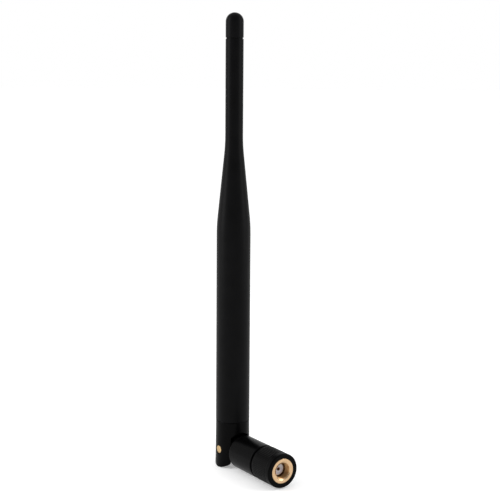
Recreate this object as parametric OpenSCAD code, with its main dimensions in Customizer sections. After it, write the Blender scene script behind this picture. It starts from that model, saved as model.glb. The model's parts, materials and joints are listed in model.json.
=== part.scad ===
// Folding whip antenna on a reverse-polarity miniature coaxial plug.
// The origin is the centre of the coupling nut's thread, at its first full turn.
// +Y runs from the plug's mouth to the hinge, and +Z runs up the whip.
// The hinge is drawn folded square, with the whip standing over the barrel's end.

/* [Radome] */
// Diameter of the radome at its foot
foot_d = 12.75; // [12.7:0.05:13]
// Diameter of the radome where its taper starts
waist_d = 12.65; // [12.2:0.05:12.7]
// Diameter of the slender upper part
upper_d = 6.55; // [6.3:0.05:7]
// Height of the foot above the hinge pin
foot_z = 11.1; // [11:0.05:11.4]
// Height where the taper starts
taper_z = 85.6; // [84:0.1:87]
// Height where the taper ends
upper_z = 115.6; // [114:0.1:117]
// Height of the groove under the tip cap
cap_z = 154.1; // [153:0.1:156]
// Height of the tip above the hinge pin
tip_z = 163.3; // [162:0.1:166]
// Bore of the radome below its taper
bore_d = 10; // [9.8:0.05:10.2]
// Bore of the slender part
upper_bore_d = 4.2; // [4:0.05:4.4]

/* [Hinge] */
// Distance from the thread's mouth to the hinge pin
hinge_y = 32.8; // [32.4:0.05:33.2]
// Diameter of the yoke at its top, under the radome
yoke_d = 12.7; // [12.65:0.01:12.75]
// Diameter of the yoke at the ends of its ears
ear_d = 13.1; // [12.7:0.05:13.3]
// Radius of the ears about the hinge pin
ear_r = 6.8; // [6.7:0.05:6.85]
// Gap between the two ears
slot_w = 7.95; // [7.7:0.05:8.6]
// Diameter of the two hinge pins
pin_d = 3.04; // [2.8:0.02:3.4]
// Play between a pin and the tongue's bore, on the radius
pin_play = 0.05; // [0.03:0.01:0.08]

/* [Barrel] */
// Diameter of the barrel
barrel_d = 12.68; // [12.2:0.02:12.7]
// Distance from the hinge pin to the shoulder
shoulder_y = 6.96; // [6.95:0.01:7.3]

/* [Plug] */
// Minor diameter of the quarter-inch, 36-turn thread
thread_d = 5.6; // [5.55:0.01:5.65]
// Length of the full thread
thread_l = 2.3; // [2:0.05:2.4]
// Diameter of the brass nut
nut_d = 9.24; // [9:0.02:9.4]
// Diameter of the grip at its front collar
grip_d = 12.82; // [12.7:0.02:13]
// Length of the grip's smooth front collar
collar_l = 2.2; // [1.8:0.05:2.8]
// Number of ribs round the grip
ribs = 60; // [48:4:72]
// Depth of the ribs
rib_h = 0.16; // [0.1:0.01:0.22]
// Bore of the socket for the centre pin
socket_d = 0.94; // [0.92:0.01:0.96]

/* [Radiator] */
// Length of the brass choke sleeve
choke_l = 28; // [26:0.5:30]
// Height of the sleeve's closed top, where the cable feeds the radiator
feed_z = 62; // [60:0.25:64]
// Turns of the phasing coil
coil_turns = 6; // [4:1:6]
// Diameter of the coil, across the middle of its wire
coil_d = 2.7; // [2.4:0.05:2.8]
// Radius of the cable's bend in the hinge
bend_r = 4.6; // [4.4:0.1:4.7]

/* [Hidden] */
$fn = 96;
// Extra length of a cutting solid past the face it cuts
over = 1;

// Coaxial cable, outer radius of each layer
jacket_r = 0.9;
braid_r = 0.675;
dielectric_r = 0.42;
conductor_r = 0.15;
// Clear hole for the cable
cable_hole_r = 1.15;

// Coupling nut and grip, along Y
nut_front_y = -0.4;
nut_edge = 0.12;
mouth_edge = 0.7;
nut_rear_y = 10.6;
grip_front_y = -0.45;
grip_rear_y = 10.75;
relief_r = 3.35;
relief_end_y = 5.8;
neck_bore_r = 2.85;
ring_groove_y = 6.6;
ring_groove_w = 0.7;
grip_edge_r = 0.58;

// Connector body, along Y
shell_y = 2.35;
shell_r = 2.3;
flange_y = 4.9;
flange_l = 0.8;
flange_r = 3.15;
neck_r = 2.75;
press_y = 10.95;
press_end_y = 17.8;
press_r = 3.4;
stem_end_y = 21.2;
flare_l = 0.4;
insulator_r = 2.05;
contact_r = 0.635;
contact_end_y = 13;

// Barrel, along Y
barrel_y = 11.4;
boss_y = grip_rear_y + 0.15;
boss_r = barrel_d / 2 - 0.7;
shoulder_at_y = hinge_y - shoulder_y;
ferrule_bore_r = 1.7;
ferrule_bore_end_y = 24.1;
edge_r = 0.58;

// Tongue and slot, about the hinge pin
tongue_w = slot_w - 0.3;
tongue_r = 5.15;
cavity_r = 5.32;
arch_r = 5.4;
arch_z = 6.85;
cable_slot_w = 2.4;
pin_inner_x = cable_slot_w / 2 + 0.15;
yoke_r_at_pin = (ear_d + (yoke_d - ear_d) * ear_r / (foot_z + ear_r)) / 2;
pin_outer_x = yoke_r_at_pin - 0.16;
pin_edge = 0.15;
spigot_l = 8;
cap_plug_l = 4.5;

// Heights inside the radome, above the hinge pin
choke_r = 2.5;
choke_wall = 0.3;
element_z = feed_z + 3.5;
element_r = 0.6;
coil_z = 97.7;
coil_wire_r = 0.35;
coil_pitch = 1.15;
coil_lead = 0.8;
coil_flare = 0.9;
coil_h = coil_turns * coil_pitch;
coil_top_z = coil_z + coil_h + 2 * (coil_lead + coil_flare);
upper_element_r = 0.45;
element_top_z = cap_z - cap_plug_l;

// Points along an arc, with its centre at c
function arc(c, r, from, to, steps) =
    [for (i = [0 : steps]) let (a = from + (to - from) * i / steps) c + r * [cos(a), sin(a)]];

// Turns an outline of [radius, distance] about the Y axis
module turned_y(outline) {
    rotate([-90, 0, 0])
        rotate_extrude()
            polygon([for (p = outline) [p[0], p[1]]]);
}

// A cylinder along Y between two places
module rod_y(r, from, to) {
    translate([0, from, 0])
        rotate([-90, 0, 0])
            cylinder(h = to - from, r = r);
}

// A cylinder along X between two places
module rod_x(r, from, to) {
    translate([from, 0, 0])
        rotate([0, 90, 0])
            cylinder(h = to - from, r = r);
}

// A cylinder along Z between two heights
module rod_z(r, from, to) {
    translate([0, 0, from])
        cylinder(h = to - from, r = r);
}

// Places its children about the hinge pin
module at_hinge() {
    translate([0, hinge_y, 0])
        children();
}

// The cable's route as a round bar: along the barrel, round the bend and up the whip
module route_bar(r, from_y, to_z) {
    rod_y(r, from_y, hinge_y - bend_r);
    translate([0, hinge_y - bend_r, bend_r])
        rotate([90, 0, 90])
            rotate([0, 0, -90])
                rotate_extrude(angle = 90)
                    translate([bend_r, 0])
                        circle(r = r);
    at_hinge() rod_z(r, bend_r, to_z);
}

// One layer of the cable, with the layer inside it taken out
module route_tube(r, inner_r, from_y, to_z) {
    difference() {
        route_bar(r, from_y, to_z);
        route_bar(inner_r, from_y - over, to_z + over);
    }
}

module coupling_nut() {
    color("goldenrod")
        turned_y([
            [thread_d / 2, 0],
            [thread_d / 2, thread_l],
            [relief_r, thread_l + 0.3],
            [relief_r, relief_end_y],
            [neck_bore_r, relief_end_y],
            [neck_bore_r, ring_groove_y],
            [neck_bore_r + 0.3, ring_groove_y],
            [neck_bore_r + 0.3, ring_groove_y + ring_groove_w],
            [neck_bore_r, ring_groove_y + ring_groove_w],
            [neck_bore_r, nut_rear_y],
            [nut_d / 2, nut_rear_y],
            [nut_d / 2, nut_front_y + nut_edge],
            [nut_d / 2 - nut_edge, nut_front_y],
            [thread_d / 2 + mouth_edge, nut_front_y]
        ]);
}

// One turn of ribs, as a star with flat tops and flat roots
module rib_outline(r) {
    polygon([
        for (i = [0 : ribs - 1], k = [0 : 3])
            let (a = (i + [0, 0.3, 0.5, 0.8][k]) * 360 / ribs, d = k < 2 ? r : r - rib_h)
                d * [cos(a), sin(a)]
    ]);
}

module grip_sleeve() {
    front = grip_front_y + collar_l;
    rear = grip_rear_y - 0.35;
    root_r = grip_d / 2 - rib_h;
    color("#1c1c1e")
        difference() {
            union() {
                turned_y(concat(
                    [[nut_d / 2, grip_front_y + 0.2], [nut_d / 2 + 0.2, grip_front_y]],
                    arc([grip_d / 2 - grip_edge_r, grip_front_y + grip_edge_r], grip_edge_r, -90, 0, 6),
                    [
                        [grip_d / 2, front - 0.1],
                        [root_r, front],
                        [root_r, rear],
                        [root_r - 0.2, grip_rear_y],
                        [nut_d / 2, grip_rear_y]
                    ]
                ));
                translate([0, front, 0])
                    rotate([-90, 0, 0])
                        linear_extrude(rear - front)
                            rib_outline(grip_d / 2);
            }
            rod_y(nut_d / 2, grip_front_y - over, grip_rear_y + over);
        }
}

// The barrel's outer form: a low boss behind the grip, the body, and a round tongue with two flats
module barrel_solid() {
    turned_y(concat(
        [
            [0, boss_y],
            [boss_r, boss_y],
            [boss_r, barrel_y],
            [barrel_d / 2 - 0.2, barrel_y],
            [barrel_d / 2, barrel_y + 0.2]
        ],
        arc([barrel_d / 2 - edge_r, shoulder_at_y - edge_r], edge_r, 0, 90, 6),
        [[0, shoulder_at_y]]
    ));
    intersection() {
        union() {
            rod_y(tongue_r, shoulder_at_y - over, hinge_y);
            at_hinge() sphere(r = tongue_r);
        }
        translate([-tongue_w / 2, barrel_y + over, -tongue_r - over])
            cube([tongue_w, hinge_y + tongue_r, 2 * (tongue_r + over)]);
    }
}

module swivel_barrel() {
    color("#202022")
        difference() {
            barrel_solid();
            rod_y(press_r, barrel_y - over, press_end_y);
            rod_y(ferrule_bore_r, press_end_y - over, ferrule_bore_end_y);
            rod_y(cable_hole_r, ferrule_bore_end_y - over, hinge_y);
            at_hinge()
                translate([-cable_slot_w / 2, -bend_r - 0.3, -cable_slot_w / 2])
                    cube([cable_slot_w, bend_r + tongue_r + over, tongue_r + cable_slot_w]);
            at_hinge() rod_x(pin_d / 2 + pin_play, -tongue_w, tongue_w);
        }
}

module connector_body() {
    color("gold")
        turned_y([
            [insulator_r, shell_y],
            [shell_r - 0.1, shell_y],
            [shell_r, shell_y + 0.1],
            [shell_r, flange_y],
            [flange_r, flange_y],
            [flange_r, flange_y + flange_l],
            [neck_r, flange_y + flange_l],
            [neck_r, ring_groove_y],
            [neck_r - 0.4, ring_groove_y],
            [neck_r - 0.4, ring_groove_y + ring_groove_w],
            [neck_r, ring_groove_y + ring_groove_w],
            [neck_r, press_y],
            [press_r, press_y],
            [press_r, press_end_y],
            [braid_r, press_end_y],
            [braid_r, stem_end_y],
            [dielectric_r, stem_end_y],
            [dielectric_r, press_end_y - 0.6],
            [1.2, press_end_y - 0.6],
            [1.2, nut_rear_y],
            [insulator_r, nut_rear_y]
        ]);
}

module connector_insulator() {
    color("ghostwhite")
        difference() {
            rod_y(insulator_r, shell_y, nut_rear_y);
            rod_y(contact_r, shell_y - over, nut_rear_y + over);
        }
}

module centre_contact() {
    color("gold")
        turned_y([
            [socket_d / 2, shell_y + 0.15],
            [socket_d / 2 + 0.08, shell_y + 0.05],
            [contact_r - 0.04, shell_y + 0.05],
            [contact_r, shell_y + 0.1],
            [contact_r, contact_end_y],
            [conductor_r, contact_end_y],
            [conductor_r, contact_end_y - 2],
            [0, contact_end_y - 2],
            [0, shell_y + 4],
            [socket_d / 2, shell_y + 3.8]
        ]);
}

// Open ring that holds the nut on the connector's neck
module snap_ring() {
    color("silver")
        difference() {
            rod_y(neck_r + 0.25, ring_groove_y + 0.05, ring_groove_y + ring_groove_w - 0.05);
            rod_y(neck_r - 0.35, ring_groove_y - over, ring_groove_y + ring_groove_w + over);
            translate([-0.4, ring_groove_y - over, 0])
                cube([0.8, ring_groove_w + 2 * over, flange_r + over]);
        }
}

module gasket() {
    color("dimgray")
        difference() {
            rod_y(3.2, flange_y - 0.6, flange_y);
            rod_y(shell_r, flange_y - 0.6 - over, flange_y + over);
        }
}

module crimp_ferrule() {
    color("silver")
        difference() {
            rod_y(1.35, press_end_y, stem_end_y + 1.6);
            rod_y(jacket_r, press_end_y - over, stem_end_y + 1.6 + over);
        }
}

// Opening between the ears, as seen along the barrel, with a low arch at its top
module slot_outline() {
    intersection() {
        translate([-slot_w / 2, -ear_r - over])
            square([slot_w, ear_r + over + arch_z]);
        union() {
            translate([0, arch_z - arch_r])
                circle(r = arch_r);
            translate([-slot_w / 2, -ear_r - over])
                square([slot_w, ear_r + over + arch_z - arch_r]);
        }
    }
}

module hinge_yoke() {
    color("#171719")
        at_hinge()
            difference() {
                union() {
                    intersection() {
                        translate([0, 0, -ear_r])
                            cylinder(h = foot_z + ear_r, d1 = ear_d, d2 = yoke_d);
                        union() {
                            rod_x(ear_r, -foot_d, foot_d);
                            translate([-foot_d, -foot_d, 0])
                                cube([2 * foot_d, 2 * foot_d, foot_z]);
                        }
                    }
                    rod_z(bore_d / 2, foot_z, foot_z + spigot_l);
                }
                intersection() {
                    translate([0, foot_d, 0])
                        rotate([90, 0, 0])
                            linear_extrude(2 * foot_d)
                                slot_outline();
                    union() {
                        rod_z(cavity_r, -foot_z, foot_z);
                        translate([-foot_d, -2 * foot_d, -foot_z])
                            cube([2 * foot_d, 2 * foot_d, 2 * foot_z]);
                    }
                }
                rod_z(cable_hole_r, 0, foot_z + spigot_l + over);
                rod_x(pin_d / 2, -foot_d, foot_d);
            }
}

// A short pin with its outer end eased, for the ear on the given side
module hinge_pin(side) {
    color("goldenrod")
        at_hinge()
            mirror([side < 0 ? 1 : 0, 0, 0])
                rotate([0, 90, 0])
                    rotate_extrude()
                        polygon([
                            [0, pin_inner_x],
                            [pin_d / 2 - pin_edge, pin_inner_x],
                            [pin_d / 2, pin_inner_x + pin_edge],
                            [pin_d / 2, pin_outer_x - pin_edge],
                            [pin_d / 2 - pin_edge, pin_outer_x],
                            [0, pin_outer_x]
                        ]);
}

module hinge_pin_left() {
    hinge_pin(-1);
}

module hinge_pin_right() {
    hinge_pin(1);
}

// Half the turn angle of the taper, and the points of the soft bends at its two ends
slope = atan((waist_d - upper_d) / 2 / (upper_z - taper_z));
blend_r = 70;
blend_l = blend_r * tan(slope / 2);

module radome() {
    lower_c = [waist_d / 2 - blend_r, taper_z - blend_l];
    upper_c = [upper_d / 2 + blend_r, upper_z + blend_l];
    color("#1a1a1c")
        at_hinge()
            rotate_extrude()
                polygon(concat(
                    [[bore_d / 2, foot_z], [foot_d / 2 - 0.15, foot_z], [foot_d / 2, foot_z + 0.15]],
                    arc(lower_c, blend_r, 0, slope, 5),
                    arc(upper_c, blend_r, 180 + slope, 180, 5),
                    [
                        [upper_d / 2, cap_z - 0.4],
                        [upper_d / 2 - 0.12, cap_z - 0.25],
                        [upper_bore_d / 2, cap_z - 0.25],
                        [upper_bore_d / 2, upper_z],
                        [bore_d / 2, taper_z]
                    ]
                ));
}

module tip_cap() {
    dome_r = upper_d / 2;
    color("#1a1a1c")
        at_hinge()
            rotate_extrude()
                polygon(concat(
                    [
                        [0, cap_z - cap_plug_l],
                        [upper_bore_d / 2, cap_z - cap_plug_l],
                        [upper_bore_d / 2, cap_z - 0.25],
                        [dome_r - 0.25, cap_z - 0.25],
                        [dome_r - 0.25, cap_z + 0.2],
                        [dome_r, cap_z + 0.35]
                    ],
                    arc([0, tip_z - dome_r], dome_r, 0, 90, 16)
                ));
}

module cable_jacket() {
    color("sienna")
        route_tube(jacket_r, braid_r, stem_end_y + flare_l, feed_z - 3);
}

// The braid flares over the connector's stem under the ferrule
module cable_braid() {
    color("silver") {
        route_tube(braid_r, dielectric_r, stem_end_y, feed_z + 0.6);
        difference() {
            rod_y(jacket_r, press_end_y, stem_end_y + flare_l);
            rod_y(braid_r, press_end_y - over, stem_end_y + over);
        }
    }
}

module cable_dielectric() {
    color("ghostwhite")
        route_tube(dielectric_r, conductor_r, contact_end_y, element_z);
}

module cable_conductor() {
    color("silver")
        route_bar(conductor_r, contact_end_y - 2, element_z + 2.5);
}

// Quarter-wave brass tube, open at the foot and closed round the braid at the top
module choke_sleeve() {
    color("goldenrod")
        at_hinge()
            difference() {
                rod_z(choke_r, feed_z - choke_l, feed_z);
                rod_z(choke_r - choke_wall, feed_z - choke_l - over, feed_z - 0.6);
                rod_z(braid_r, feed_z - choke_l, feed_z + over);
            }
}

// Bush that centres the cable in the open end of the choke sleeve
module choke_bush() {
    from = feed_z - choke_l;
    color("white")
        at_hinge()
            difference() {
                rod_z(choke_r - choke_wall, from, from + 3);
                rod_z(jacket_r, from - over, from + 3 + over);
            }
}

// Ring that centres the choke sleeve in the radome
module spacer(from) {
    color("white")
        at_hinge()
            difference() {
                rod_z(bore_d / 2, from, from + 3);
                rod_z(choke_r, from - over, from + 3 + over);
            }
}

module spacer_lower() {
    spacer(feed_z - choke_l + 1);
}

module spacer_upper() {
    spacer(feed_z - 5);
}

// Fillet of solder between the braid and the sleeve's closed top
module solder_joint() {
    color("lightgray")
        at_hinge()
            rotate_extrude()
                polygon([
                    [braid_r, feed_z],
                    [braid_r + 0.9, feed_z],
                    [braid_r + 0.35, feed_z + 0.2],
                    [braid_r + 0.1, feed_z + 0.6],
                    [braid_r, feed_z + 0.6]
                ]);
}

// Shrunk sleeve over the joint between the cable and the radiator
module feed_sleeve() {
    wall = 0.25;
    color("#242426")
        at_hinge()
            rotate_extrude()
                polygon([
                    [dielectric_r, feed_z + 1],
                    [dielectric_r + wall, feed_z + 1],
                    [dielectric_r + wall, element_z - 0.5],
                    [element_r + wall, element_z],
                    [element_r + wall, element_z + 5],
                    [element_r, element_z + 5],
                    [element_r, element_z],
                    [dielectric_r, element_z]
                ]);
}

module lower_element() {
    color("goldenrod")
        at_hinge()
            difference() {
                rod_z(element_r, element_z, coil_z);
                rod_z(conductor_r, element_z - over, element_z + 2.5);
            }
}

module coil_former() {
    from = coil_z + coil_lead + coil_flare;
    color("white")
        at_hinge()
            rod_z(coil_d / 2 - coil_wire_r - 0.05, from, from + coil_h);
}

// The coil's centre line: up the axis, out to the coil, round its turns and back to the axis
ring_steps = 20;
turn_steps = coil_turns * ring_steps;
flare_steps = 4;
function smooth(t) = t * t * (3 - 2 * t);
function coil_point(r, turn, z) = [r * cos(360 * turn), r * sin(360 * turn), z];
coil_path = concat(
    [[0, 0, coil_z]],
    [for (i = [0 : flare_steps - 1])
        coil_point(coil_d / 2 * smooth(i / flare_steps), 0, coil_z + coil_lead + coil_flare * i / flare_steps)],
    [for (i = [0 : turn_steps])
        coil_point(coil_d / 2, i / ring_steps, coil_z + coil_lead + coil_flare + coil_h * i / turn_steps)],
    [for (i = [1 : flare_steps])
        coil_point(coil_d / 2 * smooth(1 - i / flare_steps), 0,
            coil_z + coil_lead + coil_flare + coil_h + coil_flare * i / flare_steps)],
    [[0, 0, coil_top_z]]
);

function unit(v) = v / norm(v);

// Sweeps a round wire along a path, with its sides kept square to one fixed direction
module swept_wire(path, r, sides) {
    last = len(path) - 1;
    rings = [
        for (i = [0 : last])
            let (
                t = i == 0 || i == last ? [0, 0, 1] : unit(path[i + 1] - path[i - 1]),
                u = unit(cross(t, abs(t[2]) > 0.7 ? [0, 1, 0] : [0, 0, 1])),
                w = cross(t, u)
            )
            each [for (k = [0 : sides - 1]) path[i] + r * (cos(360 * k / sides) * u + sin(360 * k / sides) * w)]
    ];
    polyhedron(
        points = rings,
        faces = concat(
            [[for (k = [0 : sides - 1]) k]],
            [for (i = [0 : last - 1], k = [0 : sides - 1])
                [i * sides + k, (i + 1) * sides + k, (i + 1) * sides + (k + 1) % sides]],
            [for (i = [0 : last - 1], k = [0 : sides - 1])
                [i * sides + k, (i + 1) * sides + (k + 1) % sides, i * sides + (k + 1) % sides]],
            [[for (k = [sides - 1 : -1 : 0]) last * sides + k]]
        )
    );
}

module phasing_coil() {
    color("darkgoldenrod")
        at_hinge()
            swept_wire(coil_path, coil_wire_r, 8);
}

module upper_element() {
    color("goldenrod")
        at_hinge()
            rod_z(upper_element_r, coil_top_z, element_top_z);
}

// Bead that centres the end of the radiator under the cap
module tip_bead() {
    color("white")
        at_hinge()
            difference() {
                rod_z(upper_bore_d / 2, element_top_z - 3, element_top_z);
                rod_z(upper_element_r, element_top_z - 3 - over, element_top_z + over);
            }
}

coupling_nut();
grip_sleeve();
swivel_barrel();
connector_body();
connector_insulator();
centre_contact();
snap_ring();
gasket();
crimp_ferrule();
hinge_yoke();
hinge_pin_left();
hinge_pin_right();
radome();
tip_cap();
cable_jacket();
cable_braid();
cable_dielectric();
cable_conductor();
choke_sleeve();
choke_bush();
spacer_lower();
spacer_upper();
solder_joint();
feed_sleeve();
lower_element();
coil_former();
phasing_coil();
upper_element();
tip_bead();
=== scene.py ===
"""Looks of the folding whip antenna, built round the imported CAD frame.

Lengths are in mm and are turned into metres by MM.
"""
import json
import math

import bmesh
import bpy
from mathutils import Matrix, Vector


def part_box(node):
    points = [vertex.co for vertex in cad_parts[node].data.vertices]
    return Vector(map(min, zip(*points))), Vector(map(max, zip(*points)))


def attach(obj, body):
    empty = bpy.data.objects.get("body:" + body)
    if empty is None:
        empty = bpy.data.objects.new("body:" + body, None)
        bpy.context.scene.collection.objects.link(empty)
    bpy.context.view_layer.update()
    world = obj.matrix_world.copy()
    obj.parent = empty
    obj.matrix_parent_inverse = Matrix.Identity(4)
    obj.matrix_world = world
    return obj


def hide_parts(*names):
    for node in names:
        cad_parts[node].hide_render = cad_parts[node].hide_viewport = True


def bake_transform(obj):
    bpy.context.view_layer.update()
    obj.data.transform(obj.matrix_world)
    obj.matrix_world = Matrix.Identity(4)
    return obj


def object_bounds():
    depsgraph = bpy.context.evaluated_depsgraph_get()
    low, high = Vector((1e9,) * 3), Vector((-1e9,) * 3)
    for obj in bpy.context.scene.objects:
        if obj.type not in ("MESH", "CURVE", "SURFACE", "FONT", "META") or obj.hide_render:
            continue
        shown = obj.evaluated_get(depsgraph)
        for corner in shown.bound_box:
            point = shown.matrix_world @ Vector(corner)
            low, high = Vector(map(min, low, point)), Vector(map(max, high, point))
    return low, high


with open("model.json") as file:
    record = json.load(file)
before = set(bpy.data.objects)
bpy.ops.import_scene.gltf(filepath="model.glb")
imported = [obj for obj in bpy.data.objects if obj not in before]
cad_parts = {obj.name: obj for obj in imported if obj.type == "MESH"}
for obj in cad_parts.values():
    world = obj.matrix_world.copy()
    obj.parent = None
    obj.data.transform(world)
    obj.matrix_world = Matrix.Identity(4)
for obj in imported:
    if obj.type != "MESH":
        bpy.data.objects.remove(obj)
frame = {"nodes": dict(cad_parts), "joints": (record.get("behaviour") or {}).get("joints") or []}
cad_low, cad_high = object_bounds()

MM = 0.001
X_AXIS, Y_AXIS, Z_AXIS = Vector((1, 0, 0)), Vector((0, 1, 0)), Vector((0, 0, 1))
hinge = Vector(next(j["pos_m"] for j in frame["joints"] if j["name"] == "whip_fold"))
HINGE_Y = hinge.y / MM

# ---------------------------------------------------------------- sizes, in mm
# Radome and cap; heights are above the hinge pin.
FOOT_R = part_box("radome")[1].x / MM
FOOT_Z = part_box("radome")[0].z / MM
WAIST_R = 6.325
TAPER_Z = 85.6
UPPER_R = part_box("tip_cap")[1].x / MM
UPPER_Z = 115.6
CAP_PLUG_L = 4.5
CAP_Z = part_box("tip_cap")[0].z / MM + CAP_PLUG_L
TIP_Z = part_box("tip_cap")[1].z / MM
BORE_R = 5.0
UPPER_BORE_R = 2.1
TAPER_BLEND_R = 70.0
FOOT_EDGE_R = 0.16
CAP_EDGE_R = 0.14
GROOVE_DEPTH = 0.25
GROOVE_BELOW = 0.25
GROOVE_ABOVE = 0.18

# Yoke and pins
YOKE_TOP_R = 6.35
YOKE_END_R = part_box("hinge_yoke")[1].x / MM
EAR_R = -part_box("hinge_yoke")[0].z / MM
SPIGOT_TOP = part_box("hinge_yoke")[1].z / MM
SLOT_HALF = 3.975
ARCH_R = 5.4
ARCH_Z = 6.85
CAVITY_R = 5.32
PIN_R = 1.52
PIN_PLAY = 0.05
PIN_DOME = 0.12
CABLE_HOLE_R = 1.15

# Barrel and its tongue, along the plug's axis from the thread's mouth
BOSS_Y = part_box("swivel_barrel")[0].y / MM
BARREL_Y = BOSS_Y + 0.5
BARREL_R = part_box("swivel_barrel")[1].x / MM
BOSS_R = BARREL_R - 0.7
BARREL_EDGE_R = 0.58
SHOULDER_Y = HINGE_Y - 6.96
TONGUE_HALF = 3.825
TONGUE_R = 5.15
CABLE_SLOT_HALF = 1.2
PRESS_R = 3.4
PRESS_Y = BARREL_Y - 0.45
PRESS_END_Y = 17.8
STEM_END_Y = 21.2
CONTACT_END_Y = 13.0
SOLDER_Y = CONTACT_END_Y - 2
FERRULE_BORE_R = 1.7
FERRULE_BORE_END_Y = 24.1

# Grip, nut and connector
GRIP_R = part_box("grip_sleeve")[1].z / MM
GRIP_FRONT_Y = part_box("grip_sleeve")[0].y / MM
GRIP_REAR_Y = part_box("grip_sleeve")[1].y / MM
COLLAR_L = 2.2
RIBS = 60
RIB_H = 0.12
GRIP_EDGE_R = 0.58
NUT_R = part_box("coupling_nut")[1].z / MM
NUT_FRONT_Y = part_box("coupling_nut")[0].y / MM
NUT_REAR_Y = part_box("coupling_nut")[1].y / MM
NUT_EDGE = 0.12
MOUTH_EDGE = 0.7
THREAD_MINOR_R = 2.8
THREAD_MAJOR_R = 3.18
THREAD_PITCH = 25.4 / 36
THREAD_L = 2.3
RELIEF_R = 3.35
RELIEF_END_Y = 5.8
NECK_BORE_R = 2.85
NECK_R = 2.75
RING_GROOVE_Y = 6.6
RING_GROOVE_END_Y = 7.3
SHELL_Y = 2.35
SHELL_R = 2.3
FLANGE_R = 3.15
FLANGE_Y = 4.9
FLANGE_END_Y = 5.7
INSULATOR_R = 2.05
CONTACT_R = 0.635
SOCKET_R = 0.47

# Cable
BEND_R = 4.6
JACKET_R, BRAID_R, DIELECTRIC_R, CONDUCTOR_R = 0.9, 0.675, 0.42, 0.15
FEED_Z = 62.0

# Gap left where two solids would share a face, and the relaxed remesh of the moulded pieces
GAP = 0.02
VOXEL = 0.1
RELAX_ROUNDS = 10


# ---------------------------------------------------------------- mesh helpers
def make_object(name, points, faces, smooth_angle=35):
    """A mesh object from points in mm, shaded smooth except over edges sharper than smooth_angle."""
    mesh = bpy.data.meshes.new(name)
    mesh.from_pydata([Vector(p) * MM for p in points], [], faces)
    bm = bmesh.new()
    bm.from_mesh(mesh)
    bmesh.ops.recalc_face_normals(bm, faces=bm.faces)
    bm.to_mesh(mesh)
    bm.free()
    piece = bpy.data.objects.new(name, mesh)
    bpy.context.scene.collection.objects.link(piece)
    shade(piece, smooth_angle)
    return piece


def shade(piece, smooth_angle):
    """Smooth shading with sharp edges kept where two faces meet at more than smooth_angle degrees."""
    mesh = piece.data
    mesh.polygons.foreach_set("use_smooth", [True] * len(mesh.polygons))
    mesh.set_sharp_from_angle(angle=math.radians(smooth_angle))


def arc(centre, radius, start, end, steps):
    """Points along an arc about centre, from start to end degrees, as pairs in the centre's axes."""
    angles = [math.radians(start + (end - start) * i / steps) for i in range(steps + 1)]
    return [(centre[0] + radius * math.cos(a), centre[1] + radius * math.sin(a)) for a in angles]


def rounded(outline, radius, steps=4):
    """The closed outline with each corner eased to radius, or less where its sides are short."""
    out = []
    count = len(outline)
    for i, corner in enumerate(outline):
        here = Vector(corner)
        back = Vector(outline[i - 1]) - here
        ahead = Vector(outline[(i + 1) % count]) - here
        if back.length < 1e-9 or ahead.length < 1e-9:
            continue
        turn = back.angle(ahead)
        if turn > math.radians(165) or corner[0] < 1e-6:
            out.append(tuple(here))
            continue
        reach = min(radius / math.tan(turn / 2), 0.4 * back.length, 0.4 * ahead.length)
        first, last = here + back.normalized() * reach, here + ahead.normalized() * reach
        for k in range(steps + 1):
            t = k / steps
            out.append(tuple(first * (1 - t) ** 2 + here * 2 * t * (1 - t) + last * t ** 2))
    return out


def along_y(r, angle, t):
    return (r * math.cos(angle), t, r * math.sin(angle))


def along_z(r, angle, t):
    return (r * math.cos(angle), HINGE_Y + r * math.sin(angle), t)


def lathe(name, outline, place, steps=128, shape=None, smooth_angle=35):
    """Turns a closed outline of (radius, distance) pairs about an axis.

    shape(r, t, angle, index) may move a point.
    """
    points, rings = [], []
    for index, (r, t) in enumerate(outline):
        if r < 1e-6:
            rings.append([len(points)])
            points.append(place(0, 0, t))
            continue
        ring = []
        for k in range(steps):
            angle = 2 * math.pi * k / steps
            pr, pt = shape(r, t, angle, index) if shape else (r, t)
            ring.append(len(points))
            points.append(place(pr, angle, pt))
        rings.append(ring)
    faces = []
    for a, b in zip(rings, rings[1:] + rings[:1]):
        if len(a) == 1 and len(b) == 1:
            continue
        for k in range(steps):
            n = (k + 1) % steps
            if len(a) == 1:
                faces.append((a[0], b[k], b[n]))
            elif len(b) == 1:
                faces.append((a[k], b[0], a[n]))
            else:
                faces.append((a[k], b[k], b[n], a[n]))
    return make_object(name, points, faces, smooth_angle)


def lathe_y(name, outline, **options):
    return lathe(name, outline, along_y, **options)


def lathe_z(name, outline, **options):
    return lathe(name, outline, along_z, **options)


def tube(name, path, radius, inner=0.0, sides=24):
    """A round tube or bar along a path of points in mm, which doesn't twist on its way."""
    points, rings = [], []
    last = len(path) - 1
    normal = None
    for i, here in enumerate(path):
        ahead = Vector(path[min(i + 1, last)]) - Vector(path[max(i - 1, 0)])
        ahead.normalize()
        if normal is None:
            normal = ahead.orthogonal().normalized()
        normal = (normal - ahead * normal.dot(ahead)).normalized()
        side = ahead.cross(normal)
        for r in ([radius, inner] if inner else [radius]):
            ring = []
            for k in range(sides):
                a = 2 * math.pi * k / sides
                ring.append(len(points))
                points.append(Vector(here) + r * (math.cos(a) * normal + math.sin(a) * side))
            rings.append(ring)
    layers = 2 if inner else 1
    faces = []
    for layer in range(layers):
        these = rings[layer::layers]
        for a, b in zip(these, these[1:]):
            for k in range(sides):
                n = (k + 1) % sides
                faces.append((a[k], a[n], b[n], b[k]))
    if inner:
        for outer_ring, inner_ring in ((rings[0], rings[1]), (rings[-2], rings[-1])):
            for k in range(sides):
                n = (k + 1) % sides
                faces.append((outer_ring[k], outer_ring[n], inner_ring[n], inner_ring[k]))
    else:
        faces.append(tuple(rings[0]))
        faces.append(tuple(rings[-1]))
    return make_object(name, points, faces, 50)


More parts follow.
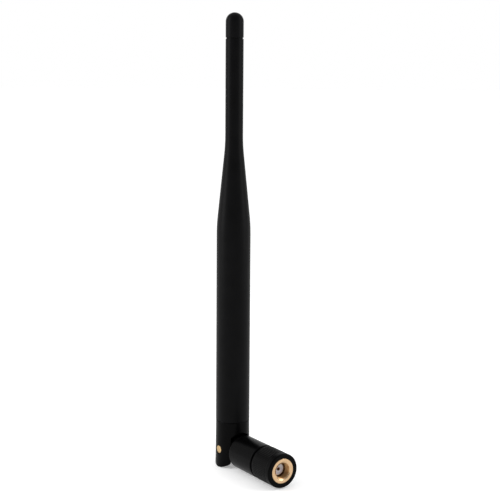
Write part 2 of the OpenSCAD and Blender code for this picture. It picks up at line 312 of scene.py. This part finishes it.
def bar(name, axis, radius, start, end, centre=(0, HINGE_Y, 0), sides=192, end_radius=None):
    """A plain round bar along an axis, or a cone with its own end radius, for cutting and joining."""
    bm = bmesh.new()
    turn = axis.to_track_quat("Z", "Y").to_matrix().to_4x4()
    middle = Vector(centre) + axis * (start + end) / 2
    bmesh.ops.create_cone(
        bm, cap_ends=True, segments=sides, radius1=radius * MM, radius2=(end_radius or radius) * MM,
        depth=(end - start) * MM, matrix=Matrix.Translation(middle * MM) @ turn,
    )
    return from_bmesh(name, bm)


def block(name, low, high):
    """A plain block between two corners, for cutting and joining."""
    bm = bmesh.new()
    low, high = Vector(low), Vector(high)
    size = Matrix.Diagonal(((high - low) * MM).to_4d())
    size[3][3] = 1
    bmesh.ops.create_cube(bm, size=1, matrix=Matrix.Translation((low + high) / 2 * MM) @ size)
    return from_bmesh(name, bm)


def from_bmesh(name, bm):
    mesh = bpy.data.meshes.new(name)
    bm.to_mesh(mesh)
    bm.free()
    piece = bpy.data.objects.new(name, mesh)
    bpy.context.scene.collection.objects.link(piece)
    return piece


def apply_modifiers(piece):
    """Replaces the object's mesh by its evaluated one."""
    graph = bpy.context.evaluated_depsgraph_get()
    mesh = bpy.data.meshes.new_from_object(piece.evaluated_get(graph), depsgraph=graph)
    piece.modifiers.clear()
    piece.data = mesh
    return piece


def combine(base, operation, *tools):
    """Joins, cuts or intersects base with the tools, which are then removed."""
    for tool in tools:
        modifier = base.modifiers.new("combine", "BOOLEAN")
        modifier.operation = operation
        modifier.solver = "EXACT"
        modifier.object = tool
        apply_modifiers(base)
        bpy.data.objects.remove(tool)
    return base


def moulded(piece, name):
    """Remeshes a solid finely and relaxes it, which eases every edge as a mould does."""
    remesh = piece.modifiers.new("remesh", "REMESH")
    remesh.mode = "VOXEL"
    remesh.voxel_size = VOXEL * MM
    apply_modifiers(piece)
    smooth = piece.modifiers.new("relax", "SMOOTH")
    smooth.factor = 0.5
    smooth.iterations = RELAX_ROUNDS
    apply_modifiers(piece)
    piece.name = name
    piece.data.name = name
    shade(piece, 60)
    return piece


# ---------------------------------------------------------------- materials
# Metres between the crests of a wave texture whose scale is 1
WAVE_PERIOD = 0.314


def new_material(name):
    material = bpy.data.materials.new(name)
    material.use_nodes = True
    nodes, links = material.node_tree.nodes, material.node_tree.links
    return material, nodes, links, nodes["Principled BSDF"]


def object_coordinates(nodes):
    return nodes.new("ShaderNodeTexCoord").outputs["Object"]


def noise(nodes, links, place, scale, detail=2.0, rough=0.5):
    """Noise with features of about `scale` mm."""
    texture = nodes.new("ShaderNodeTexNoise")
    texture.inputs["Scale"].default_value = 1 / (scale * MM)
    texture.inputs["Detail"].default_value = detail
    texture.inputs["Roughness"].default_value = rough
    links.new(place, texture.inputs["Vector"])
    return texture.outputs["Fac"]


def spread(nodes, links, value, low, high):
    """Maps noise, which stays near its middle, to the range from low to high."""
    ramp = nodes.new("ShaderNodeMapRange")
    ramp.inputs["From Min"].default_value = 0.3
    ramp.inputs["From Max"].default_value = 0.7
    ramp.inputs["To Min"].default_value = low
    ramp.inputs["To Max"].default_value = high
    links.new(value, ramp.inputs["Value"])
    return ramp.outputs["Result"]


def blend_colours(nodes, links, value, first, second):
    mix = nodes.new("ShaderNodeMix")
    mix.data_type = "RGBA"
    mix.inputs["A"].default_value = (*first, 1)
    mix.inputs["B"].default_value = (*second, 1)
    links.new(value, mix.inputs["Factor"])
    return mix.outputs["Result"]


def bump(nodes, links, height, distance, under=None):
    """Bump from a height, with its relief given in mm."""
    node = nodes.new("ShaderNodeBump")
    node.inputs["Distance"].default_value = distance * MM
    node.inputs["Strength"].default_value = 1.0
    links.new(height, node.inputs["Height"])
    if under is not None:
        links.new(under, node.inputs["Normal"])
    return node.outputs["Normal"]


def black_plastic(name, dark, light, rough, grain, relief, specular=0.25):
    """Moulded black plastic: a fine spark-eroded grain, cloudy gloss and a trace of colour change."""
    material, nodes, links, shader = new_material(name)
    place = object_coordinates(nodes)
    cloud = noise(nodes, links, place, 6.0, 3)
    fine = noise(nodes, links, place, grain, 3, 0.6)
    shade_mix = spread(nodes, links, cloud, 0, 1)
    links.new(blend_colours(nodes, links, shade_mix, dark, light), shader.inputs["Base Color"])
    links.new(spread(nodes, links, fine, rough - 0.05, rough + 0.07), shader.inputs["Roughness"])
    coarse = bump(nodes, links, noise(nodes, links, place, grain * 4, 2), relief * 1.5)
    links.new(bump(nodes, links, fine, relief, under=coarse), shader.inputs["Normal"])
    shader.inputs["Specular IOR Level"].default_value = specular
    return material


def turned_metal(name, bright, dull, rough, axis, pitch=0.05, relief=0.0015):
    """Plated metal with fine rings left by the lathe about the given axis, X, Y or Z."""
    material, nodes, links, shader = new_material(name)
    place = object_coordinates(nodes)
    cloud = spread(nodes, links, noise(nodes, links, place, 1.5, 3), 0, 1)
    links.new(blend_colours(nodes, links, cloud, bright, dull), shader.inputs["Base Color"])
    links.new(spread(nodes, links, noise(nodes, links, place, 0.25, 3), rough - 0.05, rough + 0.08),
              shader.inputs["Roughness"])
    wave = nodes.new("ShaderNodeTexWave")
    wave.wave_type = "RINGS"
    wave.rings_direction = axis
    wave.inputs["Scale"].default_value = WAVE_PERIOD / (pitch * MM)
    wave.inputs["Distortion"].default_value = 0.6
    links.new(place, wave.inputs["Vector"])
    links.new(bump(nodes, links, wave.outputs["Fac"], relief), shader.inputs["Normal"])
    shader.inputs["Metallic"].default_value = 1.0
    return material


def waxy_plastic(name, light, shade_colour, rough):
    """Waxy plastic or rubber: faintly mottled, with light let in under its surface."""
    material, nodes, links, shader = new_material(name)
    place = object_coordinates(nodes)
    cloud = spread(nodes, links, noise(nodes, links, place, 0.8, 3), 0, 1)
    links.new(blend_colours(nodes, links, cloud, light, shade_colour), shader.inputs["Base Color"])
    links.new(spread(nodes, links, noise(nodes, links, place, 0.2, 2), rough - 0.05, rough + 0.1),
              shader.inputs["Roughness"])
    links.new(bump(nodes, links, noise(nodes, links, place, 0.12, 2), 0.002), shader.inputs["Normal"])
    shader.inputs["Subsurface Weight"].default_value = 0.2
    shader.inputs["Subsurface Scale"].default_value = 0.3 * MM
    return material


def braided_metal(name, bright, dark):
    """Tinned wire braid: two crossing sets of strands."""
    strand_pitch = 0.12
    material, nodes, links, shader = new_material(name)
    place = object_coordinates(nodes)
    heights = []
    for lean in (45, -45):
        turn = nodes.new("ShaderNodeMapping")
        turn.inputs["Rotation"].default_value = (math.radians(lean), math.radians(lean), 0)
        links.new(place, turn.inputs["Vector"])
        wave = nodes.new("ShaderNodeTexWave")
        wave.inputs["Scale"].default_value = WAVE_PERIOD / (strand_pitch * MM)
        links.new(turn.outputs["Vector"], wave.inputs["Vector"])
        heights.append(wave.outputs["Fac"])
    woven = nodes.new("ShaderNodeMath")
    woven.operation = "MAXIMUM"
    links.new(heights[0], woven.inputs[0])
    links.new(heights[1], woven.inputs[1])
    links.new(blend_colours(nodes, links, woven.outputs[0], dark, bright), shader.inputs["Base Color"])
    links.new(bump(nodes, links, woven.outputs[0], 0.03), shader.inputs["Normal"])
    shader.inputs["Metallic"].default_value = 1.0
    shader.inputs["Roughness"].default_value = 0.35
    return material


RADOME_BLACK = black_plastic(
    "radome_black", (0.003, 0.003, 0.0032),
    (0.004, 0.004, 0.0043), 0.38, 0.16, 0.004, 0.04,
)
HINGE_BLACK = black_plastic(
    "hinge_black", (0.0009, 0.0009, 0.001),
    (0.0013, 0.0013, 0.0014), 0.27, 0.12, 0.002, 0.04,
)
GRIP_BLACK = black_plastic(
    "grip_black", (0.0009, 0.0009, 0.001),
    (0.0013, 0.0013, 0.0014), 0.34, 0.1, 0.003, 0.04,
)
SEAL_RUBBER = waxy_plastic("brown_silicone", (0.36, 0.17, 0.07), (0.27, 0.12, 0.05), 0.5)
SHRINK_BLACK = black_plastic("shrink_black", (0.012, 0.012, 0.012), (0.02, 0.02, 0.02), 0.5, 0.5, 0.02)
GOLD_Y = turned_metal("gold_turned_about_y", (0.58, 0.40, 0.24), (0.51, 0.34, 0.19), 0.22, "Y")
# Darker gold for the thread bore and the centre socket: painted shade of the recess
GOLD_PAINTED_SHADE = turned_metal("gold_with_painted_bore_shade", (0.38, 0.21, 0.09), (0.29, 0.15, 0.06), 0.3, "Y")
GOLD_X = turned_metal("gold_turned_about_x", (0.53, 0.37, 0.19), (0.45, 0.31, 0.15), 0.28, "X", 0.08, 0.002)
BRASS = turned_metal("brass_drawn", (0.72, 0.55, 0.25), (0.62, 0.45, 0.18), 0.3, "Z", 0.1)
TINNED = turned_metal("tinned_metal", (0.72, 0.72, 0.7), (0.6, 0.6, 0.58), 0.3, "Y")
BRAID = braided_metal("tinned_braid", (0.75, 0.75, 0.72), (0.25, 0.25, 0.24))
WHITE = waxy_plastic("white_fluoropolymer", (0.68, 0.62, 0.62), (0.58, 0.53, 0.53), 0.4)
SHEATH = waxy_plastic("brown_cable_sheath", (0.02, 0.009, 0.004), (0.013, 0.006, 0.003), 0.35)


def dress(piece, body, node, material):
    """Gives a new piece its body and its material, and hides the CAD node it stands for."""
    piece.data.materials.clear()
    piece.data.materials.append(material)
    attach(piece, body)
    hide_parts(node)
    return piece


# ---------------------------------------------------------------- radome and cap
def make_radome():
    slope = math.degrees(math.atan((WAIST_R - UPPER_R) / (UPPER_Z - TAPER_Z)))
    reach = TAPER_BLEND_R * math.tan(math.radians(slope / 2))
    lower = arc((WAIST_R - TAPER_BLEND_R, TAPER_Z - reach), TAPER_BLEND_R, 0, slope, 12)
    upper = arc((UPPER_R + TAPER_BLEND_R, UPPER_Z + reach), TAPER_BLEND_R, 180 + slope, 180, 12)
    rim = CAP_Z - GROOVE_BELOW
    outline = [(BORE_R, FOOT_Z)]
    outline += arc((FOOT_R - FOOT_EDGE_R, FOOT_Z + FOOT_EDGE_R), FOOT_EDGE_R, -90, 0, 5)
    outline += lower + upper
    outline += arc((UPPER_R - CAP_EDGE_R, rim - CAP_EDGE_R), CAP_EDGE_R, 0, 90, 5)
    outline += [(UPPER_BORE_R, rim), (UPPER_BORE_R, UPPER_Z), (BORE_R, TAPER_Z)]
    shell = lathe_z("radome_shell", outline, steps=160)
    return dress(shell, "whip", "radome", RADOME_BLACK)


def make_tip_cap():
    neck = UPPER_R - GROOVE_DEPTH
    plug_end, rim, lip = CAP_Z - CAP_PLUG_L, CAP_Z - GROOVE_BELOW, CAP_Z + GROOVE_ABOVE
    outline = [(0, plug_end), (UPPER_BORE_R, plug_end), (UPPER_BORE_R, rim), (neck, rim), (neck, lip)]
    outline += arc((UPPER_R - CAP_EDGE_R, lip + GAP + CAP_EDGE_R), CAP_EDGE_R, -90, 0, 5)
    outline += arc((0, TIP_Z - UPPER_R), UPPER_R, 0, 90, 28)[:-1]
    outline += [(0, TIP_Z)]
    cap = lathe_z("tip_cap_moulded", outline, steps=128)
    return dress(cap, "whip", "tip_cap", RADOME_BLACK)


# ---------------------------------------------------------------- yoke, pins and barrel
def make_yoke():
    far = 3 * FOOT_R
    yoke = bar("yoke", Z_AXIS, YOKE_END_R, -EAR_R, FOOT_Z - GAP, end_radius=YOKE_TOP_R)
    ends = bar("ear_round", X_AXIS, EAR_R, -far, far)
    above = block("above", (-far, HINGE_Y - far, 0), (far, HINGE_Y + far, far))
    combine(yoke, "INTERSECT", combine(ends, "UNION", above))
    slot = block("slot", (-SLOT_HALF, HINGE_Y - far, -far), (SLOT_HALF, HINGE_Y + far, ARCH_Z - ARCH_R))
    arch = bar("arch", Y_AXIS, ARCH_R, -far, far, (0, HINGE_Y, ARCH_Z - ARCH_R))
    span = block("arch_span", (-SLOT_HALF, HINGE_Y - far, -far), (SLOT_HALF, HINGE_Y + far, far))
    combine(arch, "INTERSECT", span)
    combine(slot, "UNION", arch)
    cavity = bar("cavity", Z_AXIS, CAVITY_R, -far, far)
    front = block("front", (-far, HINGE_Y - far, -far), (far, HINGE_Y, far))
    combine(slot, "INTERSECT", combine(cavity, "UNION", front))
    combine(yoke, "DIFFERENCE", slot)
    combine(yoke, "DIFFERENCE", bar("pin_bore", X_AXIS, PIN_R, -far, far, sides=96))
    combine(yoke, "UNION", bar("spigot", Z_AXIS, BORE_R - GAP, FOOT_Z - 1, SPIGOT_TOP))
    combine(yoke, "DIFFERENCE", bar("cable_hole", Z_AXIS, CABLE_HOLE_R, 0, far, sides=96))
    moulded(yoke, "hinge_yoke_moulded")
    return dress(yoke, "whip", "hinge_yoke", HINGE_BLACK)


def make_pin(node, side):
    """A short turned pin with a low dome on its outer end."""
    low, high = (v.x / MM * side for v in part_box(node))
    inner, outer = min(low, high), max(low, high)
    lead_in, edge = 0.15, 0.06
    side_r, dome_r, dome_foot = PIN_R - 0.01, 0.95 * PIN_R, outer - PIN_DOME
    outline = [(0, inner), (PIN_R - lead_in, inner), (side_r, inner + lead_in)]
    outline += [(side_r, dome_foot - edge), (PIN_R - edge, dome_foot)]
    for degrees in range(6, 90, 7):
        a = math.radians(degrees)
        outline.append((dome_r * math.cos(a), dome_foot + PIN_DOME * math.sin(a)))
    outline.append((0, outer))

    def along_x(r, angle, t):
        return (side * t, HINGE_Y + r * math.cos(angle), r * math.sin(angle))

    pin = lathe(node + "_turned", outline, along_x, steps=64)
    return dress(pin, "whip", node, GOLD_X)


def make_barrel():
    chamfer = 0.2
    outline = [(0, BOSS_Y), (BOSS_R, BOSS_Y), (BOSS_R, BARREL_Y)]
    outline += [(BARREL_R - chamfer, BARREL_Y), (BARREL_R, BARREL_Y + chamfer)]
    outline += arc((BARREL_R - BARREL_EDGE_R, SHOULDER_Y - BARREL_EDGE_R), BARREL_EDGE_R, 0, 90, 8)
    outline += [(0, SHOULDER_Y)]
    barrel = lathe_y("barrel", outline, steps=192)
    head = [(0, SHOULDER_Y - 1), (TONGUE_R, SHOULDER_Y - 1)]
    head += arc((0, HINGE_Y), TONGUE_R, 0, 90, 48)[:-1]
    head.append((0, HINGE_Y + TONGUE_R))
    tongue = lathe_y("tongue", head, steps=192)
    flats_end = HINGE_Y + BARREL_R
    flats = block("flats", (-TONGUE_HALF, BARREL_Y + 1, -BARREL_R), (TONGUE_HALF, flats_end, BARREL_R))
    combine(tongue, "INTERSECT", flats)
    combine(barrel, "UNION", tongue)
    at_mouth = (0, 0, 0)
    combine(
        barrel, "DIFFERENCE",
        bar("press_bore", Y_AXIS, PRESS_R, BARREL_Y - 1, PRESS_END_Y, at_mouth),
        bar("ferrule_bore", Y_AXIS, FERRULE_BORE_R, PRESS_END_Y - 1, FERRULE_BORE_END_Y, at_mouth, 96),
        bar("cable_bore", Y_AXIS, CABLE_HOLE_R, FERRULE_BORE_END_Y - 1, HINGE_Y, at_mouth, 96),
        block("cable_slot", (-CABLE_SLOT_HALF, HINGE_Y - BEND_R - 0.3, -CABLE_SLOT_HALF),
              (CABLE_SLOT_HALF, HINGE_Y + TONGUE_R + 1, TONGUE_R + 1)),
        bar("pin_run", X_AXIS, PIN_R + PIN_PLAY, -BARREL_R, BARREL_R, sides=96),
    )
    moulded(barrel, "swivel_barrel_moulded")
    return dress(barrel, "base", "swivel_barrel", HINGE_BLACK)


# ---------------------------------------------------------------- grip and nut
def step_up(value, start, end):
    """0 before start, 1 after end, and a smooth step between."""
    t = min(1.0, max(0.0, (value - start) / (end - start)))
    return t * t * (3 - 2 * t)


def make_grip():
    root = GRIP_R - RIB_H
    front, rear = GRIP_FRONT_Y + COLLAR_L, GRIP_REAR_Y - 0.35
    chamfer, inset, rings = 0.15, 0.08, 24
    outline = [(NUT_R, GRIP_FRONT_Y + chamfer), (NUT_R + chamfer, GRIP_FRONT_Y)]
    outline += arc((GRIP_R - GRIP_EDGE_R, GRIP_FRONT_Y + GRIP_EDGE_R), GRIP_EDGE_R, -90, 0, 8)
    outline += [(GRIP_R, front - 0.3), (GRIP_R, front - 0.12), (GRIP_R - 0.04, front - 0.04), (root, front)]
    outline += [(root, front + inset + (rear - front - 2 * inset) * i / rings) for i in range(rings + 1)]
    outline += [(root, rear), (root - 0.08, rear + 0.16), (root - 0.25, GRIP_REAR_Y), (NUT_R, GRIP_REAR_Y)]

    def ribbed(r, t, angle, index):
        share = step_up(t, front + 0.1, front + 0.45) * (1 - step_up(t, rear - 0.5, rear - 0.1))
        if r < root - 0.01 or not front < t < rear:
            return r, t
        wave = 0.5 + 0.5 * math.cos(RIBS * angle)
        return r + RIB_H * share * wave ** 0.7, t

    grip = lathe_y("grip_sleeve_ribbed", outline, steps=RIBS * 8, shape=ribbed)
    return dress(grip, "nut", "grip_sleeve", GRIP_BLACK)


def thread_radius(t, angle):
    """Radius of a right-hand internal thread, about 60 degrees between its flanks, with small flats."""
    crest, flanks = 0.2, 0.66           # as shares of the pitch
    phase = (t / THREAD_PITCH + angle / (2 * math.pi)) % 1.0
    height = (abs(phase - 0.5) * 2 - crest) / flanks
    return THREAD_MINOR_R + (THREAD_MAJOR_R - THREAD_MINOR_R) * min(1.0, max(0.0, height))


def make_nut():
    rows = 92
    thread_start, thread_end = NUT_FRONT_Y, THREAD_L + 0.3
    length = thread_end - thread_start
    lead_in_rows = int(rows * -thread_start / length)
    groove_r = NECK_BORE_R + 0.3
    mouth = [(THREAD_MINOR_R, thread_start + length * i / rows) for i in range(rows + 1)]
    rest = rounded([
        (RELIEF_R, thread_end + 0.04), (RELIEF_R, RELIEF_END_Y), (NECK_BORE_R, RELIEF_END_Y),
        (NECK_BORE_R, RING_GROOVE_Y), (groove_r, RING_GROOVE_Y),
        (groove_r, RING_GROOVE_END_Y), (NECK_BORE_R, RING_GROOVE_END_Y), (NECK_BORE_R, NUT_REAR_Y),
        (NUT_R, NUT_REAR_Y), (NUT_R, NUT_FRONT_Y + NUT_EDGE), (NUT_R - NUT_EDGE, NUT_FRONT_Y),
    ], 0.06)

    def threaded(r, t, angle, index):
        if index > rows:
            return r, t
        lead_in = THREAD_MINOR_R + MOUTH_EDGE * t / NUT_FRONT_Y
        run_out = THREAD_MINOR_R + (t - THREAD_L) * 2
        return max(thread_radius(t, angle), lead_in, run_out), t

    sides = 144
    nut = lathe_y("coupling_nut_threaded", mouth + rest, steps=sides, shape=threaded, smooth_angle=50)
    dress(nut, "nut", "coupling_nut", GOLD_Y)
    # The threaded run past the lead-in takes the darker gold, which paints the shade inside the bore
    nut.data.materials.append(GOLD_PAINTED_SHADE)
    for face in nut.data.polygons[lead_in_rows * sides:rows * sides]:
        face.material_index = 1
    return nut


# ---------------------------------------------------------------- connector
def make_connector():
    groove_r, inner_r, floor_y = NECK_R - 0.4, 1.2, PRESS_END_Y - 0.6
    body = rounded([
        (INSULATOR_R, SHELL_Y), (SHELL_R, SHELL_Y), (SHELL_R, FLANGE_Y), (FLANGE_R, FLANGE_Y),
        (FLANGE_R, FLANGE_END_Y), (NECK_R, FLANGE_END_Y), (NECK_R, RING_GROOVE_Y),
        (groove_r, RING_GROOVE_Y), (groove_r, RING_GROOVE_END_Y), (NECK_R, RING_GROOVE_END_Y),
        (NECK_R, PRESS_Y),
        (PRESS_R - GAP, PRESS_Y), (PRESS_R - GAP, PRESS_END_Y),
        (BRAID_R, PRESS_END_Y), (BRAID_R, STEM_END_Y), (DIELECTRIC_R, STEM_END_Y), (DIELECTRIC_R, floor_y),
        (inner_r, floor_y), (inner_r, NUT_REAR_Y), (INSULATOR_R, NUT_REAR_Y),
    ], 0.08)
    body_piece = lathe_y("connector_body_turned", body, steps=96)
    dress(body_piece, "base", "connector_body", GOLD_Y)
    insulator = rounded([
        (CONTACT_R + 0.12, SHELL_Y + GAP), (INSULATOR_R, SHELL_Y + GAP), (INSULATOR_R, NUT_REAR_Y),
        (CONTACT_R, NUT_REAR_Y), (CONTACT_R, SHELL_Y + 0.14),
    ], 0.05)
    insulator_piece = lathe_y("insulator_turned", insulator, steps=96)
    dress(insulator_piece, "base", "connector_insulator", WHITE)


def make_contact():
    """The centre socket: a turned sleeve with four spring slits."""
    front = SHELL_Y + 0.05
    outline = rounded([
        (SOCKET_R + 0.09, front), (CONTACT_R, front), (CONTACT_R, CONTACT_END_Y),
        (CONDUCTOR_R, CONTACT_END_Y), (CONDUCTOR_R, SOLDER_Y), (0, SOLDER_Y),
        (0, SHELL_Y + 4), (SOCKET_R, SHELL_Y + 3.8), (SOCKET_R, front + 0.12),
    ], 0.04, 3)
    contact = lathe_y("centre_socket_slit", outline, steps=64)
    slit_half, slit_end, past = 0.06, front + 2.6, CONTACT_R * 2
    cuts = [
        block("slit", (-past, front - 1, -slit_half), (past, slit_end, slit_half)),
        block("slit", (-slit_half, front - 1, -past), (slit_half, slit_end, past)),
    ]
    combine(contact, "DIFFERENCE", *cuts)
    shade(contact, 35)
    # The socket, deep in the bore, takes the darker gold of painted shade
    return dress(contact, "base", "centre_contact", GOLD_PAINTED_SHADE)


# ---------------------------------------------------------------- cable
def cable_path(start_y, end_z):
    """The cable's centre line: along the barrel, round the bend in the hinge and up the whip."""
    straight = 18
    bend_y = HINGE_Y - BEND_R
    path = [(0, start_y + (bend_y - start_y) * i / straight, 0) for i in range(straight)]
    path += [(0, bend_y + y, BEND_R + z) for y, z in arc((0, 0), BEND_R, -90, 0, 24)]
    path += [(0, HINGE_Y, BEND_R + (end_z - BEND_R) * i / straight) for i in range(1, straight + 1)]
    return path


def make_cable():
    # Layer, outer and inner radius, start along the barrel, end up the whip, slot and material
    layers = (
        ("jacket", JACKET_R, BRAID_R, STEM_END_Y + 0.4, FEED_Z - 3, "cable_sheath", SHEATH),
        ("braid", BRAID_R, DIELECTRIC_R, STEM_END_Y, FEED_Z + 0.6, "tinned", BRAID),
        ("dielectric", DIELECTRIC_R, CONDUCTOR_R, CONTACT_END_Y, FEED_Z + 3.5, "white_insulator", WHITE),
        ("conductor", CONDUCTOR_R, 0, SOLDER_Y, FEED_Z + 6, "tinned", TINNED),
    )
    for layer, outer, inner, start_y, end_z, slot, material in layers:
        piece = tube("cable_" + layer + "_run", cable_path(start_y, end_z), outer, inner)
        piece.data.materials.append(material)
        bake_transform(piece)
        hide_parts("cable_" + layer)


# ---------------------------------------------------------------- radiator
def make_coil():
    low, high = (v.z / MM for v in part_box("phasing_coil"))
    wire_r, coil_r, lead, flare, turns = 0.35, 1.35, 0.8, 0.9, 6
    bottom, top = low + lead + flare, high - lead - flare
    steps, bends = turns * 36, 8
    path = [(0, HINGE_Y, low)]
    path += [(coil_r * step_up(i, 0, bends), HINGE_Y, low + lead + flare * i / bends) for i in range(bends)]
    for i in range(steps + 1):
        a = 2 * math.pi * turns * i / steps
        height = bottom + (top - bottom) * i / steps
        path.append((coil_r * math.cos(a), HINGE_Y + coil_r * math.sin(a), height))
    path += [(coil_r * step_up(bends - i, 0, bends), HINGE_Y, top + flare * i / bends)
             for i in range(1, bends + 1)]
    path += [(0, HINGE_Y, high)]
    coil = tube("phasing_coil_wound", path, wire_r, sides=16)
    return dress(coil, "whip", "phasing_coil", BRASS)


# Hidden pieces that keep their CAD mesh and only get a finish
CARRIED_OVER = {
    "snap_ring": TINNED, "gasket": SEAL_RUBBER, "crimp_ferrule": TINNED,
    "choke_sleeve": BRASS, "choke_bush": WHITE, "spacer_lower": WHITE, "spacer_upper": WHITE,
    "solder_joint": TINNED, "feed_sleeve": SHRINK_BLACK, "lower_element": BRASS,
    "coil_former": WHITE, "upper_element": BRASS, "tip_bead": WHITE,
}


def dress_carried_over():
    for node, material in CARRIED_OVER.items():
        mesh = frame["nodes"][node].data
        mesh.materials.clear()
        mesh.materials.append(material)


# ---------------------------------------------------------------- floor, light and camera
FLOOR_Z = cad_low.z / MM - 0.02
FLOOR_R = 4000
FLOOR_GLOW = 0.32
ROOM_BACK, ROOM_FRONT = 0.9, 0.45


def make_floor():
    material, nodes, links, shader = new_material("pale_floor")
    place = object_coordinates(nodes)
    cloud = spread(nodes, links, noise(nodes, links, place, 60, 2), 0, 1)
    paint = blend_colours(nodes, links, cloud, (0.93, 0.93, 0.93), (0.91, 0.91, 0.91))
    links.new(paint, shader.inputs["Base Color"])
    shader.inputs["Roughness"].default_value = 0.8
    shader.inputs["Specular IOR Level"].default_value = 0.1
    shader.inputs["Emission Color"].default_value = (1, 1, 1, 1)
    shader.inputs["Emission Strength"].default_value = FLOOR_GLOW
    rim = 64
    corners = [2 * math.pi * k / rim for k in range(rim)]
    points = [(FLOOR_R * math.cos(a), FLOOR_R * math.sin(a), FLOOR_Z) for a in corners]
    floor = make_object("floor", points, [tuple(range(rim))])
    floor.data.materials.append(material)


# Camera, fitted to the photo: its place from the hinge in mm, its angles in degrees
CAMERA_FROM_HINGE = (-249.5, -380.3, 152.4)
LOOK_AZIMUTH = -34.04
LOOK_PITCH = -9.5
LOOK_ROLL = 0.43
LENS = 89.06


def toward(azimuth, elevation):
    """Direction from the object to a viewer at this azimuth and elevation; azimuth 0 looks along +Y."""
    a, e = math.radians(azimuth), math.radians(elevation)
    return Vector((math.sin(a) * math.cos(e), -math.cos(a) * math.cos(e), math.sin(e)))


def make_camera():
    data = bpy.data.cameras.new("camera")
    data.lens = LENS
    data.sensor_width = 36
    data.clip_start, data.clip_end = 0.01, 20
    camera = bpy.data.objects.new("camera", data)
    bpy.context.scene.collection.objects.link(camera)
    place = hinge + Vector(CAMERA_FROM_HINGE) * MM
    back = toward(LOOK_AZIMUTH, -LOOK_PITCH)
    right = Vector((math.cos(math.radians(LOOK_AZIMUTH)), math.sin(math.radians(LOOK_AZIMUTH)), 0))
    turn = Matrix((right, back.cross(right), back)).transposed().to_4x4()
    roll = Matrix.Rotation(math.radians(LOOK_ROLL), 4, "Z")
    camera.matrix_world = Matrix.Translation(place) @ turn @ roll
    bpy.context.scene.camera = camera


def make_side_light(name, azimuth, power):
    """An upright soft box beside the antenna, aimed at the middle of the whip; lengths in metres."""
    distance, width, height, aim_z, elevation = 0.8, 0.3, 0.9, 0.07, 15
    data = bpy.data.lights.new(name, "AREA")
    data.shape = "RECTANGLE"
    data.size, data.size_y = width, height
    data.energy = power
    light = bpy.data.objects.new(name, data)
    bpy.context.scene.collection.objects.link(light)
    target = Vector((0, hinge.y, aim_z))
    way = toward(azimuth, elevation)
    light.location = target + distance * way
    light.rotation_mode = "QUATERNION"
    light.rotation_quaternion = way.to_track_quat("Z", "Y")


def make_lights():
    """Two soft boxes and a weak, very wide sun from behind."""
    make_side_light("soft_left", LOOK_AZIMUTH - 80, 5)
    make_side_light("soft_right", LOOK_AZIMUTH + 80, 3)
    data = bpy.data.lights.new("soft_top", "SUN")
    data.energy = 0.1
    data.angle = math.radians(100)
    light = bpy.data.objects.new("soft_top", data)
    light.rotation_mode = "QUATERNION"
    light.rotation_quaternion = toward(LOOK_AZIMUTH + 180, 60).to_track_quat("Z", "Y")
    bpy.context.scene.collection.objects.link(light)


def make_room():
    """A white room that is dim on the viewer's side, as behind a dark camera."""
    world = bpy.data.worlds.new("soft_room")
    world.use_nodes = True
    nodes, links = world.node_tree.nodes, world.node_tree.links
    front = nodes.new("ShaderNodeVectorMath")
    front.operation = "DOT_PRODUCT"
    front.inputs[1].default_value = toward(LOOK_AZIMUTH, 0)
    links.new(nodes.new("ShaderNodeTexCoord").outputs["Generated"], front.inputs[0])
    dim = nodes.new("ShaderNodeMapRange")
    dim.interpolation_type = "SMOOTHSTEP"
    dim.inputs["From Min"].default_value = -0.3
    dim.inputs["From Max"].default_value = 0.8
    dim.inputs["To Min"].default_value = ROOM_BACK
    dim.inputs["To Max"].default_value = ROOM_FRONT
    links.new(front.outputs["Value"], dim.inputs["Value"])
    seen = nodes.new("ShaderNodeMix")
    links.new(nodes.new("ShaderNodeLightPath").outputs["Is Camera Ray"], seen.inputs["Factor"])
    links.new(dim.outputs["Result"], seen.inputs["A"])
    seen.inputs["B"].default_value = 1
    links.new(seen.outputs["Result"], nodes["Background"].inputs["Strength"])
    nodes["Background"].inputs["Color"].default_value = (1, 1, 1, 1)
    bpy.context.scene.world = world
    bpy.context.scene.view_settings.view_transform = "Standard"


make_camera()
make_lights()
make_room()
make_floor()
make_radome()
make_tip_cap()
make_yoke()
make_pin("hinge_pin_left", -1)
make_pin("hinge_pin_right", 1)
make_barrel()
make_grip()
make_nut()
make_connector()
make_contact()
make_cable()
make_coil()
dress_carried_over()
